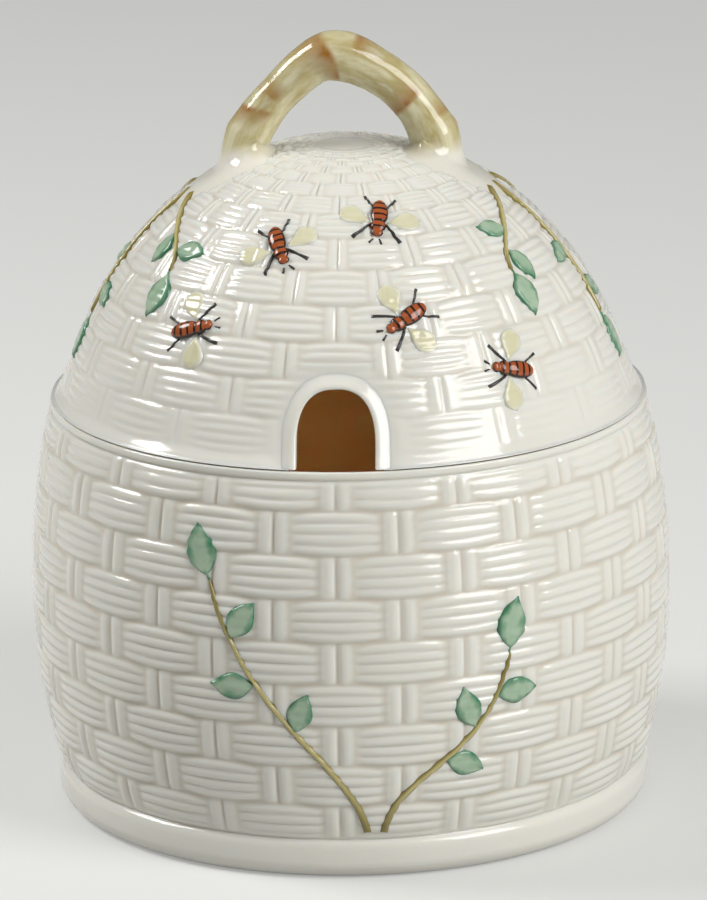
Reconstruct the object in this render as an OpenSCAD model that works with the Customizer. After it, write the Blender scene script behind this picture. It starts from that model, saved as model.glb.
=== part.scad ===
// Porcelain honey pot shaped as a straw bee skep: a woven pot, a woven dome lid with a doorway,
// and a twig handle. The doorway faces -Y, the twig handle runs along X, the table is z = 0.

/* [Pot] */
// Height of the pot from the table to its rim
pot_h = 83.8; // [70:0.1:100]
// Widest radius of the pot, over the weave
belly_r = 65.5; // [62:0.1:76]
// Height of the widest place
belly_z = 46; // [38:0.5:54]
// Radius over the rim
rim_r = 60.6; // [50:0.1:61]
// Radius over the weave just above the foot band
neck_r = 60.4; // [50:0.1:61]
// Thickness of the pot's wall behind the weave
pot_wall_t = 3; // [2.4:0.1:4]
// Thickness of the pot's floor
floor_t = 4; // [3:0.1:6]
// Height of the plain edge at the rim
rim_edge_h = 1.8; // [1.2:0.1:3]
// Width of the rim's top, which slopes down inwards and carries the lid
rim_w = 3.6; // [3:0.1:5]
// How far the sloping top falls from its outer to its inner edge
rim_fall = 1.5; // [1:0.1:2.4]

/* [Foot] */
// Height of the plain band round the foot
foot_h = 8.2; // [6:0.1:11]
// Radius of the plain band
foot_r = 60.7; // [50:0.1:61.4]
// Radius of the rounded lower edge of the band
foot_round = 3; // [2:0.1:4]
// Width of the ring that touches the table
foot_ring_w = 4; // [3:0.1:6]
// Depth of the recess inside that ring
foot_recess = 2; // [1.2:0.1:3]

/* [Lid] */
// Height of the dome above the rim, over the weave
dome_h = 52.4; // [44:0.1:62]
// Radius of the dome at its lower edge
dome_r = 60.4; // [50:0.1:60.8]
// Thickness of the lid's wall behind the weave
lid_wall_t = 3; // [2.4:0.1:4]
// Gap between the lid's lower edge and the rim
seat_gap = 0.3; // [0.2:0.05:0.5]
// Depth of the locating ring below the lid's edge
flange_h = 5; // [3:0.1:8]
// Thickness of the locating ring
flange_t = 2.2; // [1.6:0.1:3]
// Running gap between the locating ring and the pot's mouth
flange_gap = 0.6; // [0.4:0.05:1]

/* [Doorway] */
// Width of the doorway
door_w = 15.4; // [11:0.1:20]
// Height of the doorway above the rim
door_h = 15.2; // [12:0.1:20]
// Width of the raised lip round the doorway
door_lip_w = 2.8; // [2:0.1:4]

/* [Weave] */
// Height of the woven relief over the wall
relief = 1; // [0.7:0.05:1.4]
// Height of the upright stakes over the wall
stake_relief = 0.65; // [0.4:0.05:0.9]
// Number of upright stakes in a row
stakes = 16; // [12:1:20]
// Height of one row of weaving on the pot
pot_row_h = 8.6; // [7:0.1:11]
// Height of the lowest row's lower edge above the table, part of which the foot band hides
pot_row_z = 7.4; // [4:0.1:8]
// Height of one row of weaving on the lower part of the lid, along its surface
lid_row_h = 7.6; // [6:0.1:9]
// Width of the plain margin at the lid's lower edge
lid_margin = 2.8; // [2:0.1:4]
// How many rows the lid has at full height before they shrink towards the top
lid_full_rows = 6; // [4:1:8]
// How many rows the lid has in all
lid_rows = 11; // [6:1:13]
// Each row above the full ones is this share of the row below it
lid_row_shrink = 0.82; // [0.7:0.01:0.9]
// Strands in one woven bundle
strands = 4; // [3:1:5]
// Share of a stake's period that its two upright strands take
stake_share = 0.28; // [0.2:0.01:0.36]

/* [Handle] */
// Height of the twig's middle at its crown above the rim
handle_rise = 69.5; // [58:0.1:82]
// Half the distance between the twig's feet
handle_reach = 22; // [16:0.1:26]
// Radius of the twig at its crown
twig_r = 4.9; // [3.5:0.1:6]
// Radius of the twig's legs where they meet the dome
root_r = 5.9; // [5:0.1:7]
// How far each foot's fillet spreads round the leg
foot_spread = 3.3; // [2:0.1:5]
// How much a knot stands out over the twig
knot = 0.2; // [0.15:0.05:0.6]

/* [Sprigs] */
// Width of a stem in relief
stem_w = 1.5; // [1:0.1:2.5]
// Height of a stem over the weave
stem_h = 0.45; // [0.3:0.05:0.6]
// Length of a leaf
leaf_l = 11; // [8:0.1:14]
// Width of a leaf
leaf_w = 6.4; // [4:0.1:8]
// Distance of a leaf from the middle of the stem that it grows from
leaf_stalk = 1.6; // [1.2:0.1:3]
// Height of a leaf over the weave
leaf_h = 0.4; // [0.3:0.05:0.6]

/* [Bees] */
// Length of a bee's body
bee_l = 9.4; // [7:0.1:12]
// Width of a bee's body
bee_w = 3.9; // [3:0.1:5]
// Height of a bee's body over the weave
bee_h = 1.1; // [0.8:0.1:1.6]
// Length of a bee's wing
wing_l = 6; // [4:0.1:8]
// Height of a wing over the weave
wing_h = 0.4; // [0.3:0.05:0.6]

/* [Hidden] */
$fn = 96;

// Gap that keeps a relief clear of the surface it is seated on
skin_gap = 0.06;
// A little more than nothing, for cuts that run past a face
past = 1;

glaze = "ivory";
olive = "darkkhaki";
leaf_green = "mediumaquamarine";

// ---- Outlines, as [radius, height] ----

// Wall of the pot behind its weave, at height z
function pot_r(z) = belly_r - relief - (z > belly_z
    ? (belly_r - rim_r) * pow((z - belly_z) / (pot_h - belly_z), 2)
    : (belly_r - neck_r) * pow((belly_z - z) / (belly_z - foot_h), 2.3));
function pot_point(z) = [pot_r(z), z];
weave_top = pot_h - rim_edge_h;
pot_side = [for (i = [0:18]) pot_point(foot_h + (weave_top - foot_h) * i / 18)];
mouth_r = rim_r - rim_w;
floor_z = foot_recess + floor_t;

// Outside of the dome over its weave: a curve that leaves the rim nearly upright and closes level
dome_frame = [[1, 0], [0.92, 0.11], [0.85, 0.75], [0.38, 1], [0, 1]];
function blend(points, t) = len(points) == 1 ? points[0]
    : blend([for (i = [0:len(points) - 2]) points[i] * (1 - t) + points[i + 1] * t], t);
function unit(v) = v / norm(v);
function outward(along) = unit([along.y, -along.x]);
dome_steps = 28;
dome_crest = [for (i = [0:dome_steps]) let (p = blend(dome_frame, i / dome_steps))
    [dome_r * p.x, pot_h + seat_gap + dome_h * p.y]];
function dome_along(i) = i == dome_steps ? [-1, 0]
    : dome_crest[min(i + 1, dome_steps)] - dome_crest[max(i - 1, 0)];
// The dome's outline moved out from its crest by a distance, or in by a negative one
function dome_line(out) = [for (i = [0:dome_steps])
    let (p = dome_crest[i] + out * outward(dome_along(i))) [i == dome_steps ? 0 : max(p.x, 0), p.y]];
dome_wall = dome_line(-relief);
function lengths(line, i = 0, sum = 0) = i == len(line) - 1 ? [sum]
    : concat([sum], lengths(line, i + 1, sum + norm(line[i + 1] - line[i])));
dome_lengths = lengths(dome_wall);
dome_r_by_length = [for (i = [0:dome_steps]) [dome_lengths[i], dome_wall[i].x]];
dome_z_by_length = [for (i = [0:dome_steps]) [dome_lengths[i], dome_wall[i].y]];
dome_length_by_r = [for (i = [dome_steps:-1:0]) [dome_wall[i].x, dome_lengths[i]]];
// A place on the dome's wall at a distance s up from its edge, and the way out of the wall there
function dome_point(s) = [lookup(s, dome_r_by_length), lookup(s, dome_z_by_length)];
function dome_out(s) = outward(dome_point(s + 0.5) - dome_point(s - 0.5));

function turned(r, a, z) = [r * sin(a), -r * cos(a), z];
// A point in space on the pot or the dome, at angle a from the doorway and height out over the wall
function on_pot(a, z, out) = let (slope = pot_point(z + 0.5) - pot_point(z - 0.5),
    p = pot_point(z) + out * outward(slope)) turned(p.x, a, p.y);
function on_dome(a, s, out) = let (p = dome_point(s) + out * dome_out(s)) turned(p.x, a, p.y);

// ---- Pot ----

module pot() {
    color(glaze) rotate_extrude($fn = 180) polygon(concat(
        [[0, foot_recess], [foot_r - foot_round - foot_ring_w - foot_recess, foot_recess],
            [foot_r - foot_round - foot_ring_w, 0], [foot_r - foot_round, 0]],
        [for (a = [15:15:90]) [foot_r - foot_round + foot_round * sin(a), foot_round * (1 - cos(a))]],
        [[foot_r, foot_h - 1.6], [foot_r - 0.3, foot_h - 0.6], [pot_r(foot_h) + 0.2, foot_h - 0.1]],
        pot_side,
        [[rim_r - 0.35, weave_top + 0.15], [rim_r, weave_top + 0.5], [rim_r, pot_h - 0.5],
            [rim_r - 0.5, pot_h], [mouth_r + 0.4, pot_h - rim_fall], [mouth_r, pot_h - rim_fall - 0.4],
            [mouth_r, pot_h - flange_h - rim_fall - 2]],
        [for (i = [16:-1:2]) pot_side[i] - [pot_wall_t, 0]],
        [[pot_r(floor_z) - pot_wall_t - 4, floor_z], [0, floor_z]]
    ));
}

// ---- Weave ----

// A patch of weaving is a strip of a revolve: its back follows the wall and its front has one round
// for each strand. Places run from low to high: the lowest valley, then three for each round. The back
// has a place for every second round, or every place under one tall round, which keeps it off the wall.
round_places = [0.28, 0.72, 1];
round_heights = [1, 1, 0.45];
function places(low, high, count) = let (step = (high - low) / count)
    concat([low], [for (k = [0:count - 1], f = round_places) low + step * (k + f)]);
function heights(count, top) = top * concat([round_heights[2]],
    [for (k = [0:count - 1], f = round_heights) f]);
// points are places on the wall, and outs the ways out of the wall there
function patch_outline(points, outs, h) = let (n = len(points) - 1) concat(
    [for (i = [0:n]) if (n == len(round_places) || i % (2 * len(round_places)) == 0 || i == n)
        points[i] + outs[i] * skin_gap],
    [for (i = [n:-1:0]) points[i] + outs[i] * h[i]]);
module patch(outline, middle, width) {
    rotate([0, 0, middle - width / 2 - 90]) rotate_extrude(angle = width, $fn = 180) polygon(outline);
}

period = 360 / stakes;
stake_a = period * stake_share;
// Each period of a row holds a bundle of weavers and two upright strands: [is a bundle, turn, width]
bundle_piece = [true, period / 2, period - stake_a - 0.4];
row_pieces = [bundle_piece, [false, -stake_a / 4, stake_a / 2 - 0.3], [false, stake_a / 4, stake_a / 2 - 0.3]];
// Near the top of the lid the two uprights are too thin to mould apart, so they are one
high_pieces = [bundle_piece, [false, 0, stake_a - 0.6]];
least_strand = 1.4;

function pot_out(z) = outward(pot_point(z + 0.5) - pot_point(z - 0.5));
function pot_patch(low, high, count, top) = let (z = places(low, high, count))
    patch_outline([for (h = z) pot_point(h)], [for (h = z) pot_out(h)], heights(count, top));
strand_pitch = pot_row_h / strands;
// Rows of the pot as [lower edge, strands]: the foot band and the rim's edge hide the strands they meet
function pot_row_edge(row) = pot_row_z + row * pot_row_h;
function pot_row_low(row) = max(pot_row_edge(row), foot_h + 0.2);
function pot_row_strands(row) = min(strands, floor((weave_top - pot_row_edge(row)) / strand_pitch));
function pot_row_top(row) = pot_row_edge(row) + pot_row_strands(row) * strand_pitch - 0.1;
pot_rows = ceil((weave_top - strand_pitch - pot_row_z) / pot_row_h);
pot_bundles = [for (row = [0:pot_rows - 1])
    pot_patch(pot_row_low(row), pot_row_top(row), pot_row_strands(row), relief)];
pot_uprights = [for (row = [0:pot_rows - 1])
    pot_patch(pot_row_low(row) + 0.1, pot_row_top(row) - 0.1, 1, stake_relief)];

module pot_weave() {
    color(glaze) for (row = [0:pot_rows - 1], i = [0:stakes - 1], piece = row_pieces)
        patch(piece[0] ? pot_bundles[row] : pot_uprights[row],
            (i + row % 2 / 2) * period + piece[1], piece[2]);
}

// Lower edge of each of the lid's rows, as a distance up the dome
function lid_row(row) = row == 0 ? lid_margin
    : lid_row(row - 1) + lid_row_h * (row <= lid_full_rows ? 1 : pow(lid_row_shrink, row - lid_full_rows));
// Low rows have every strand, and the small ones near the top have those that stay wide enough to mould
function lid_row_strands(row) = max(2, min(strands, round((lid_row(row + 1) - lid_row(row)) / least_strand)));
function lid_row_pieces(row) = dome_point(lid_row(row)).x * PI / 180 * stake_a / 2 < least_strand
    ? high_pieces : row_pieces;
function lid_patch(low, high, count, top) = let (s = places(low, high, count))
    patch_outline([for (d = s) dome_point(d)], [for (d = s) dome_out(d)], heights(count, top));
lid_bundles = [for (row = [0:lid_rows - 1])
    lid_patch(lid_row(row), lid_row(row + 1) - 0.1, lid_row_strands(row), relief)];
lid_uprights = [for (row = [0:lid_rows - 1])
    lid_patch(lid_row(row) + 0.1, lid_row(row + 1) - 0.2, 1, stake_relief)];

// Whether a patch at an angle from the doorway can meet its lip, and whether it runs under a foot of
// the twig, where the wall is plain
function from_door(a) = abs(a - 360 * round(a / 360));
function meets_door(row, a) = lid_row(row) < door_h + door_lip_w + 2 && from_door(a) < 24;
function foot_r_at(a) = abs(twig[sin(a) > 0 ? len(twig) - 1 : 0].x) * handle_reach;
function under_foot(row, a, width) = let (foot = foot_r_at(a),
    near_r = max(min(foot, dome_point(lid_row(row)).x), dome_point(lid_row(row + 1)).x),
    turn = max(0, abs(from_door(a) - 90) - width / 2))
    norm([near_r * cos(turn) - foot, near_r * sin(turn)]) < root_r + foot_spread + 0.3;

module lid_weave() {
    color(glaze) for (row = [0:lid_rows - 1], i = [0:stakes - 1], piece = lid_row_pieces(row)) {
        a = (i + (row + 1) % 2 / 2) * period + piece[1];
        outline = piece[0] ? lid_bundles[row] : lid_uprights[row];
        if (meets_door(row, a))
            difference() {
                patch(outline, a, piece[2]);
                door_prism(door_lip_w + 0.2);
            }
        else if (!under_foot(row, a, piece[2]))
            patch(outline, a, piece[2]);
    }
}

// ---- Lid ----

// The doorway's outline seen from the front, grown by a distance
module door_outline(grow) {
    top_z = pot_h + door_h - door_w / 2;
    translate([0, top_z]) circle(d = door_w + 2 * grow, $fn = 64);
    translate([-door_w / 2 - grow, pot_h - past * 4])
        square([door_w + 2 * grow, top_z - pot_h + past * 4]);
}
module door_prism(grow) {
    rotate([90, 0, 0]) linear_extrude(height = dome_r + past) door_outline(grow);
}
// What lies under the dome's outline when that is moved out from its crest by a distance
module dome_solid(out, low) {
    line = dome_line(out);
    rotate_extrude($fn = 180) polygon(concat([[0, low], [line[0].x, low]], line));
}

lid_low = pot_h + seat_gap;
ring_top = lid_low + 1.2;
seat_r = mouth_r + 0.4;

module lid() {
    wall = [for (i = [0:dome_steps]) if (dome_lengths[i] > lid_margin + 0.2) dome_wall[i]];
    inside = [for (p = dome_line(-relief - lid_wall_t)) [p.y, p.x]];
    color(glaze) difference() {
        rotate_extrude($fn = 180) polygon(concat(
            [[dome_r - 0.8, lid_low], [dome_r - 0.25, lid_low + 0.5]],
            [for (s = [lid_margin * 0.45, lid_margin * 0.75]) dome_point(s) + relief * dome_out(s)],
            [dome_point(lid_margin - 0.1)], wall,
            [for (i = [dome_steps:-1:0]) if (inside[i][0] > ring_top + 0.3) [inside[i][1], inside[i][0]]],
            [[lookup(ring_top, inside), ring_top + skin_gap], [seat_r, ring_top + skin_gap],
                [seat_r, lid_low - rim_fall]]
        ));
        door_prism(0);
        intersection() {
            door_prism(door_lip_w + skin_gap);
            difference() {
                dome_solid(past, lid_low - past);
                dome_solid(-relief, lid_low - 2 * past);
            }
        }
    }
}

module lid_flange() {
    outer = mouth_r - flange_gap;
    low = lid_low - rim_fall - flange_h;
    color(glaze) difference() {
        rotate_extrude($fn = 180) polygon([[outer - flange_t, low], [outer - 0.6, low], [outer, low + 0.6],
            [outer, pot_h - rim_fall], [seat_r - skin_gap, lid_low - 0.4], [seat_r - skin_gap, ring_top],
            [outer - flange_t, ring_top]]);
        door_prism(1);
    }
}

module door_lip() {
    color(glaze) difference() {
        intersection() {
            difference() {
                dome_solid(0.1, lid_low);
                dome_solid(-relief + skin_gap, lid_low - past);
            }
            door_prism(door_lip_w);
        }
        door_prism(0);
    }
}

// ---- Handle ----

// The twig's knots from its left foot to its right one, as [across, rise, radius] shares
twig = [[-1, 0.66, 0.95], [-0.87, 0.783, 0.92], [-0.59, 0.895, 0.86], [-0.11, 1, 1],
    [0.35, 0.94, 0.95], [0.62, 0.86, 0.92], [0.76, 0.785, 0.93], [0.92, 0.66, 0.96]];
function knot_at(k) = [k.x * handle_reach, 0, pot_h + handle_rise * k.y];

module link(a, b, r1, r2) {
    run = b - a;
    translate(a) rotate([0, acos(run.z / norm(run)), atan2(run.y, run.x)])
        cylinder(h = norm(run), r1 = r1, r2 = r2, $fn = 48);
}
// The fillet round a foot, turned about the way out of the dome's wall, from [share of the spread, height]
fillet = [[1, 0.35], [0.7, 0.8], [0.3, 1.7], [-0.1, 3], [-0.3, 4.6]];
module foot_fillet(foot_x) {
    on_dome_at([foot_x > 0 ? 90 : -90, lookup(abs(foot_x), dome_length_by_r), 0])
        translate([0, 0, -relief - skin_gap]) rotate_extrude() polygon(concat(
            [[0, -1.5], [root_r + foot_spread, -1.5]],
            [for (p = fillet) [root_r + foot_spread * p.x, p.y]], [[0, 5.2]]));
}
module handle() {
    last = len(twig) - 1;
    color(olive) difference() {
        union() {
            for (i = [0:last - 1])
                link(knot_at(twig[i]), knot_at(twig[i + 1]), twig_r * twig[i].z, twig_r * twig[i + 1].z);
            for (i = [1:last - 1])
                translate(knot_at(twig[i])) sphere(r = twig_r * twig[i].z + knot, $fn = 48);
            for (end = [[0, 1], [last, last - 1]]) {
                link(knot_at(twig[end[0]]) - [0, 0, 4], knot_at(twig[end[1]]), root_r, twig_r * 0.9);
                foot_fillet(knot_at(twig[end[0]]).x);
            }
        }
        dome_solid(-relief + skin_gap, lid_low);
    }
}

// ---- Sprigs and bees ----

// A strip of relief from lines of points that run side by side along it, in order round it
module strip(lines) {
    k = len(lines);
    n = len(lines[0]);
    polyhedron([for (line = lines, p = line) p], concat(
        [for (j = [0:k - 1], i = [0:n - 2]) let (a = j * n + i, b = (j + 1) % k * n + i)
            each [[a, b, b + 1], [a, b + 1, a + 1]]],
        [for (j = [1:k - 2]) [0, (j + 1) * n, j * n]],
        [for (j = [1:k - 2]) [n - 1, (j + 1) * n - 1, (j + 2) * n - 1]]));
}

// Millimetres across the surface for one degree of turn, at a height up the pot or a way up the dome
function per_degree(dome, s) = (dome ? dome_point(s).x : pot_r(s)) * PI / 180;
function on_surface(dome, at, out) = dome ? on_dome(at.x, at.y, relief + out)
    : on_pot(at.x, at.y, relief + out);
function step_to(dome, at, move) = [at.x + move.x / per_degree(dome, at.y), at.y + move.y];
// Way along a path of [angle, height] places, as a unit vector in millimetres
function run_at(dome, path, t) = let (a = blend(path, t - 0.02), b = blend(path, t + 0.02))
    unit([(b.x - a.x) * per_degree(dome, a.y), b.y - a.y]);

// A ridge along a curved path, whose half widths are given from its start to its end
module relief_ridge(dome, path, halves, h) {
    n = len(halves) - 1;
    middle = [for (i = [0:n]) blend(path, i / n)];
    side = [for (i = [0:n]) let (run = run_at(dome, path, i / n)) halves[i] * [-run.y, run.x]];
    full = halves[floor(n / 2)];
    strip([[for (i = [0:n]) on_surface(dome, step_to(dome, middle[i], side[i]), skin_gap)],
        [for (i = [0:n]) on_surface(dome, middle[i], skin_gap + h * min(1, 0.3 + halves[i] / full))],
        [for (i = [0:n]) on_surface(dome, step_to(dome, middle[i], -side[i]), skin_gap)],
        [for (i = [0:n]) on_surface(dome, middle[i], skin_gap)]]);
}
// Steps along a stem, short enough for its flat back to clear the weave where the wall is most curved
stem_steps = 18;
module stem(dome, path) {
    relief_ridge(dome, path, [for (i = [0:stem_steps]) stem_w / 2 * (1 - 0.36 * i / stem_steps)], stem_h);
}
// An almond leaf that grows from a share of the way along a stem, turned from the stem's own way
module leaf(dome, stem_path, share, turn, size) {
    run = run_at(dome, stem_path, share);
    way = atan2(run.y, run.x) + turn;
    from = blend(stem_path, share);
    l = leaf_l * size;
    places = [for (step = [[leaf_stalk, 0], [l * 0.55, 10], [l, 0]])
        step_to(dome, from, step[0] * [cos(way + step[1]), sin(way + step[1])])];
    relief_ridge(dome, places,
        [for (i = [0:8]) max(0.25, leaf_w * size / 2 * sin(180 * pow(i / 8, 0.85)))], leaf_h);
}

// Stems as curved paths of [angle from the doorway, height]
pot_stem_paths = [
    [[5, 10], [2, 26], [-16, 34], [-23, 62]],
    [[8, 10], [10, 24], [27, 24], [31, 46]],
];
function below_foot(side) = lookup(foot_r_at(90 * side), dome_length_by_r) - root_r - foot_spread - 0.4;
lid_stem_paths = [for (side = [-1, 1], end = [[-38, 36], [-8, 20], [38, 30]])
    [[side * (90 + end.x * 0.25), below_foot(side)], [side * (90 + end.x * 0.6), below_foot(side) - 6.5],
        [side * (90 + end.x), end.y + 6], [side * (90 + end.x), end.y]]];
// Leaves of a stem as [share of the way along it, turn, size]
pot_stem_leaves = [[1, 0, 1], [0.84, -58, 0.85], [0.7, 58, 0.85], [0.5, -58, 0.8]];
lid_stem_leaves = [[1, 0, 0.9], [0.74, 58, 0.75], [0.5, -58, 0.7]];

module pot_stems() {
    color(olive) for (path = pot_stem_paths) stem(false, path);
}
module pot_leaves() {
    color(leaf_green) for (path = pot_stem_paths, l = pot_stem_leaves) leaf(false, path, l[0], l[1], l[2]);
}
module lid_stems() {
    color(olive) for (path = lid_stem_paths) stem(true, path);
}
module lid_leaves() {
    color(leaf_green) for (path = lid_stem_paths, l = lid_stem_leaves) leaf(true, path, l[0], l[1], l[2]);
}

// Bees as [angle from the doorway, distance up the dome, way the head points]
bees = [[15, 53, -105], [-19, 46, -60], [-36, 26, 20], [17, 30, -150], [40, 17, 165]];

module on_dome_at(at) {
    p = dome_point(at[1]);
    n = dome_out(at[1]);
    seat = p + (relief + skin_gap) * n;
    rotate([0, 0, at[0]]) translate([0, -seat.x, seat.y]) rotate([atan2(n.x, n.y), 0, 0])
        rotate([0, 0, at[2]]) children();
}
module bee_body() {
    sink = bee_w / 2 - bee_h;
    abdomen = bee_l * 0.31;
    intersection() {
        translate([0, 0, -sink]) rotate([0, 90, 0]) {
            translate([0, 0, -bee_l / 2 + abdomen]) rotate_extrude($fn = 48)
                polygon([for (a = [0:15:180]) [bee_w / 2 * sin(a), -abdomen * cos(a)]]);
            translate([0, 0, bee_l * 0.2]) sphere(d = bee_w * 0.86, $fn = 48);
            translate([0, 0, bee_l * 0.38]) sphere(d = bee_w * 0.62, $fn = 48);
        }
        translate([-bee_l, -bee_l, 0]) cube([2 * bee_l, 2 * bee_l, bee_l]);
    }
}
module bee_bodies() {
    color("sienna") for (bee = bees) on_dome_at(bee) bee_body();
}
module bee_wings() {
    color("palegoldenrod") for (bee = bees, side = [-1, 1]) {
        way = bee[2] + side * 105;
        ahead = [cos(bee[2]), sin(bee[2])];
        root = step_to(true, [bee[0], bee[1]],
            bee_l * 0.12 * ahead + side * (bee_w / 2 + 0.3) * [-ahead.y, ahead.x]);
        tip = step_to(true, root, wing_l * [cos(way), sin(way)]);
        relief_ridge(true, [root, tip],
            [for (i = [0:6]) max(0.3, wing_l * 0.31 * sin(180 * pow(i / 6, 1.2)))], wing_h);
    }
}

pot();
pot_weave();
pot_stems();
pot_leaves();
lid();
lid_flange();
door_lip();
lid_weave();
handle();
lid_stems();
lid_leaves();
bee_bodies();
bee_wings();
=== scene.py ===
from math import atan2, copysign, cos, degrees, hypot, pi, radians, sin

import bmesh
import bpy
import numpy as np
from mathutils import Matrix, Vector


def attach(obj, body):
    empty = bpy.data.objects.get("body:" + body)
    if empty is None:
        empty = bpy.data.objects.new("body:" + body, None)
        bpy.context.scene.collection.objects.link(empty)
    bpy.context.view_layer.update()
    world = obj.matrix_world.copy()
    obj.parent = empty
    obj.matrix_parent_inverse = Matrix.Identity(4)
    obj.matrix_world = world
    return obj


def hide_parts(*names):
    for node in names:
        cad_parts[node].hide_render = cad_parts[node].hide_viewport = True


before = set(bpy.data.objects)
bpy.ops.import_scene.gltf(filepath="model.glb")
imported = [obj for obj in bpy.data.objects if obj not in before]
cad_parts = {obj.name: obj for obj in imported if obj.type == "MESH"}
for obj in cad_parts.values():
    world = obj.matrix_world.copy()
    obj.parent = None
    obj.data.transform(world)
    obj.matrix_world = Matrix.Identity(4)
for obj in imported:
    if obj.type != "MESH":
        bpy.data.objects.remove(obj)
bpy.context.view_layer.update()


# ---- Pot ----
# The pot is one slip-cast porcelain shell: a plain foot band, a belly with the basket weave moulded into
# it, and a plain rim that slopes inwards. It is glazed cream inside and out. One sector of its outline is
# spun and copied round, and the weave lifts the spun wall by up to a millimetre.

# Sizes are in millimetres and angles in degrees from the doorway, unless a comment says otherwise.
MM = 0.001
WELD = 1e-4
POT_H = 83.8
FOOT_H = 8.2
FOOT_R = 60.7
BELLY_R = 65.35
BELLY_Z = 46.0
RIM_R = 60.6
NECK_R = 60.4
MOUTH_R = 57.0
SHOULDER_POWER = 2
FLANK_POWER = 2.3
WEAVE_TOP = 82.0
RELIEF = 0.96
ON_WALL = 0.05

# The weave: PERIOD is the turn from one pair of uprights to the next. It fades at the foot and the rim, and
# the values from WEAVE_BED down are shares of that period, of a row or of the relief.
PERIOD = 22.5
STRANDS = 4
POT_ROW_H = 8.6
POT_ROW_Z = 7.4
POT_EDGE_FADE = 0.8
POT_LOW_EDGE = 0.6
POT_EDGE_RISE = 4.0
WEAVE_BED = 0.2
BUNDLE_HALF = 0.375
BUNDLE_SWELL = 1.04
BUNDLE_DRAW_IN = 0.18
BUNDLE_ROUND = 0.2
GROOVE_DEPTH = 0.72
UPRIGHT_HALF = 0.068
UPRIGHT_HEIGHT = 0.78
MERGE_POWER = 5

# How finely the shells are cut, and how far columns crowd to the uprights
POT_CUTS = 213
TURN_STEPS = 384
CROWDING = 0.5


def pot_r(z):
    """Radius of the pot's wall behind its weave."""
    above = (BELLY_R - RIM_R) * (np.maximum(z - BELLY_Z, 0) / (POT_H - BELLY_Z)) ** SHOULDER_POWER
    below = (BELLY_R - NECK_R) * (np.maximum(BELLY_Z - z, 0) / (BELLY_Z - FOOT_H)) ** FLANK_POWER
    return BELLY_R - RELIEF - above - below


def spun_shell(outline, fine_edge, cuts, curve):
    """A closed shell of revolution from an outline of (radius, height). One edge is cut fine and its new
    points are moved onto a curve. Columns crowd together where the weave has its uprights."""
    bm = bmesh.new()
    points = [bm.verts.new((r, 0, z)) for r, z in outline]
    edges = [bm.edges.new(pair) for pair in zip(points, points[1:])]
    a, b = points[fine_edge].co.copy(), points[fine_edge + 1].co.copy()
    new = bmesh.ops.subdivide_edges(bm, edges=[edges[fine_edge]], cuts=cuts)
    for v in new["geom_inner"]:
        if isinstance(v, bmesh.types.BMVert):
            v.co.x, v.co.z = curve((v.co - a).dot(b - a) / (b - a).length_squared)
    sectors = round(360 / PERIOD)
    bmesh.ops.spin(bm, geom=bm.verts[:] + bm.edges[:], cent=(0, 0, 0), axis=(0, 0, 1),
                   angle=2 * pi / sectors, steps=TURN_STEPS // sectors)
    turned = 1
    while turned < sectors:
        copies = bmesh.ops.duplicate(bm, geom=bm.verts[:] + bm.edges[:] + bm.faces[:])["geom"]
        bmesh.ops.rotate(bm, cent=(0, 0, 0), matrix=Matrix.Rotation(2 * pi * turned / sectors, 3, "Z"),
                         verts=[g for g in copies if isinstance(g, bmesh.types.BMVert)])
        turned *= 2
    bmesh.ops.remove_doubles(bm, verts=bm.verts, dist=WELD)
    bmesh.ops.recalc_face_normals(bm, faces=bm.faces)
    waves = 2 * 360 / PERIOD
    for v in bm.verts:
        turn = atan2(v.co.x, -v.co.y)
        turn -= CROWDING / waves * sin(waves * turn)
        r = hypot(v.co.x, v.co.y)
        v.co.x, v.co.y = r * sin(turn), -r * cos(turn)
    return bm


def basket(phase, v):
    """Height of the weave, 0 to 1, at a share of the period from one pair of uprights to the next and a share
    of the row. A bundle swells between the uprights and draws together where it dives under them. The powers
    only set how round each edge is."""
    along = np.abs(phase - 0.5) / BUNDLE_HALF
    across = (v - 0.5) / (BUNDLE_SWELL - BUNDLE_DRAW_IN * np.minimum(along, 1) ** 2)
    groove = np.abs(2 * ((across + 0.5) * STRANDS % 1) - 1)
    crown = np.clip(1 - along ** 2.8, 0, 1) ** 0.6
    side = np.clip((0.5 - np.abs(across)) * STRANDS * 2.6, 0, 1) ** 0.7
    swell = 1 - BUNDLE_ROUND * np.minimum(2 * np.abs(across), 1) ** 2
    bundle = crown * side * swell * (1 - GROOVE_DEPTH * groove ** 2.6)
    from_pair = np.minimum(phase, 1 - phase)
    stick = np.clip(1 - ((from_pair - UPRIGHT_HALF) / UPRIGHT_HALF) ** 2, 0, 1) ** 0.6
    upright = UPRIGHT_HEIGHT * stick * np.clip(1 - np.abs(2 * v - 1) ** 4, 0, 1) ** 0.6
    top = (bundle ** MERGE_POWER + upright ** MERGE_POWER) ** (1 / MERGE_POWER)
    return WEAVE_BED + (1 - WEAVE_BED) * top


def lift_weave(mesh, place):
    """Moves each vertex of the woven wall out, scales the mesh to metres, and keeps each vertex's height over
    the wall in an attribute."""
    co = np.empty(len(mesh.vertices) * 3)
    mesh.vertices.foreach_get("co", co)
    co = co.reshape(-1, 3)
    r = np.hypot(co[:, 0], co[:, 1])
    angle = np.degrees(np.arctan2(co[:, 0], -co[:, 1]))
    height, out_r, out_z, woven = place(r, angle, co[:, 2])
    co[:, :2] *= (1 + RELIEF * height * out_r / np.maximum(r, 1))[:, None]
    co[:, 2] += RELIEF * height * out_z
    mesh.vertices.foreach_set("co", (co * MM).ravel())
    mesh.attributes.new("relief", "FLOAT", "POINT").data.foreach_set("value", 1 - woven * (1 - height))


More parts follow.
